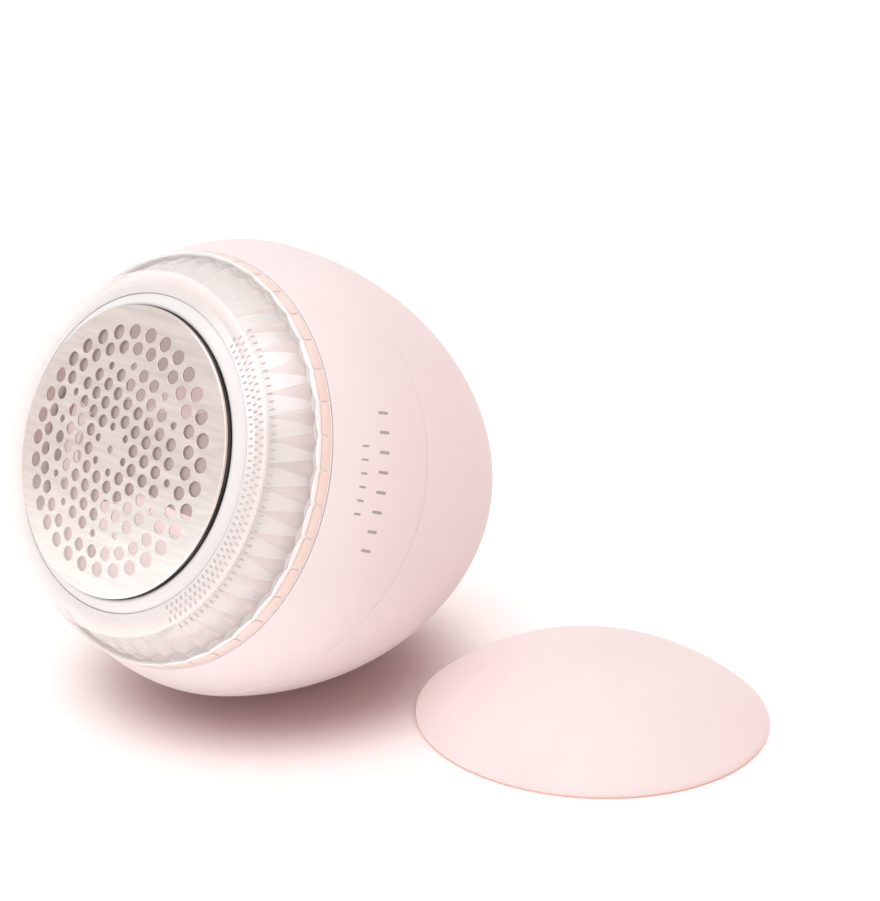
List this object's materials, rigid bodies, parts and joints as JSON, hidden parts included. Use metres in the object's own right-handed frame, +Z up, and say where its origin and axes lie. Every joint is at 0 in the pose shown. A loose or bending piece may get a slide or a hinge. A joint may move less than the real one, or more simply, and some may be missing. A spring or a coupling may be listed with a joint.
{
  "type": "fabric shaver",
  "caption": "Egg-shaped rechargeable fabric shaver with a round perforated foil, clear lint collar and loose domed cap, lying on its side.",
  "frame": {"origin": "bottom centre of the box round the shaver and its cap, on the surface they lie on", "axes": "+Z up; the cutting head points towards -Y and tilts up; +X is the side where the cap lies"},
  "size_m": [0.1268, 0.0968, 0.0809],
  "materials": {
    "foil_steel": "satin stainless foil",
    "spring_steel": "bright drawn steel",
    "blade_steel": "ground stainless",
    "motor_steel": "zinc plated",
    "screw_steel": "zinc plated",
    "nickel": "bright nickel",
    "magnet": "dull ferrite",
    "armature": "enamelled copper on steel",
    "bronze": "sintered bronze",
    "white_plastic": "fine satin",
    "grey_plastic": "satin",
    "pink_shell": "soft matte",
    "pink_cap": "soft matte",
    "salmon_band": "gloss",
    "button_plastic": "satin",
    "clear_plastic": "clear polished",
    "led_lens": "frosted clear",
    "seal_rubber": "matte silicone",
    "felt": "pressed felt",
    "cell_wrap": "shrink wrap on steel",
    "board_green": "solder mask",
    "wire_jacket": "soft jacket"
  },
  "bodies": {
    "housing": {"front_shell": "pink_shell", "rear_shell": "pink_shell", "front_bezel": "salmon_band", "chamber_deck": "grey_plastic", "collar_seal": "seal_rubber", "shaft_seal": "felt", "motor_can": "motor_steel", "motor_bush": "bronze", "motor_magnets": "magnet", "motor_end_bell": "grey_plastic", "motor_terminals": "bronze", "motor_screws": "screw_steel", "battery_cell": "cell_wrap", "battery_tabs": "nickel", "cell_cradle": "grey_plastic", "main_board": "board_green", "board_screws": "screw_steel", "tact_switch": "grey_plastic", "charge_socket": "nickel", "status_led": "led_lens", "status_lens": "led_lens", "interlock_switch": "grey_plastic", "interlock_spring": "spring_steel", "button_spring": "spring_steel", "shell_screws": "screw_steel", "wires": "wire_jacket"},
    "collar": {"lint_collar": "clear_plastic"},
    "head": {"cutter_foil": "foil_steel", "foil_ring": "white_plastic", "foil_clip_ring": "spring_steel"},
    "rotor": {"motor_shaft": "spring_steel", "motor_armature": "armature", "motor_commutator": "bronze", "drive_coupling": "grey_plastic", "blade_spring": "spring_steel"},
    "cutter": {"cutter_blades": "blade_steel", "cutter_hub": "white_plastic"},
    "button": {"power_button": "button_plastic"},
    "interlock": {"interlock_pin": "white_plastic"},
    "cap": {"cap_shell": "pink_cap", "cap_lip": "salmon_band"}
  },
  "joints": [
    {"name": "collar_pull", "type": "slide", "parent": "housing", "child": "collar", "axis": [0, -0.9388, 0.3445], "range_m": [0, 0.014]},
    {"name": "head_twist", "type": "hinge", "parent": "collar", "child": "head", "pos_m": [-0.0234, -0.04005, 0.05099], "axis": [0, -0.9388, 0.3445], "range_deg": [0, 60]},
    {"name": "rotor_spin", "type": "hinge", "parent": "housing", "child": "rotor", "pos_m": [-0.0234, -0.01189, 0.04066], "axis": [0, -0.9388, 0.3445], "continuous": true},
    {"name": "cutter_float", "type": "slide", "parent": "rotor", "child": "cutter", "axis": [0, 0.9388, -0.3445], "range_m": [0, 0.0006], "stiffness_N_per_m": 1500, "deforming": ["blade_spring"]},
    {"name": "button_press", "type": "slide", "parent": "housing", "child": "button", "axis": [0, -0.9388, 0.3445], "range_m": [0, 0.001], "stiffness_N_per_m": 1200, "deforming": ["button_spring"]},
    {"name": "interlock_press", "type": "slide", "parent": "housing", "child": "interlock", "axis": [0, 0.9388, -0.3445], "range_m": [0, 0.0012], "stiffness_N_per_m": 500, "deforming": ["interlock_spring"]},
    {"name": "cap_lift", "type": "slide", "parent": "housing", "child": "cap", "axis": [0.8, 0, 0.6], "range_m": [0, 0.06]}
  ]
}
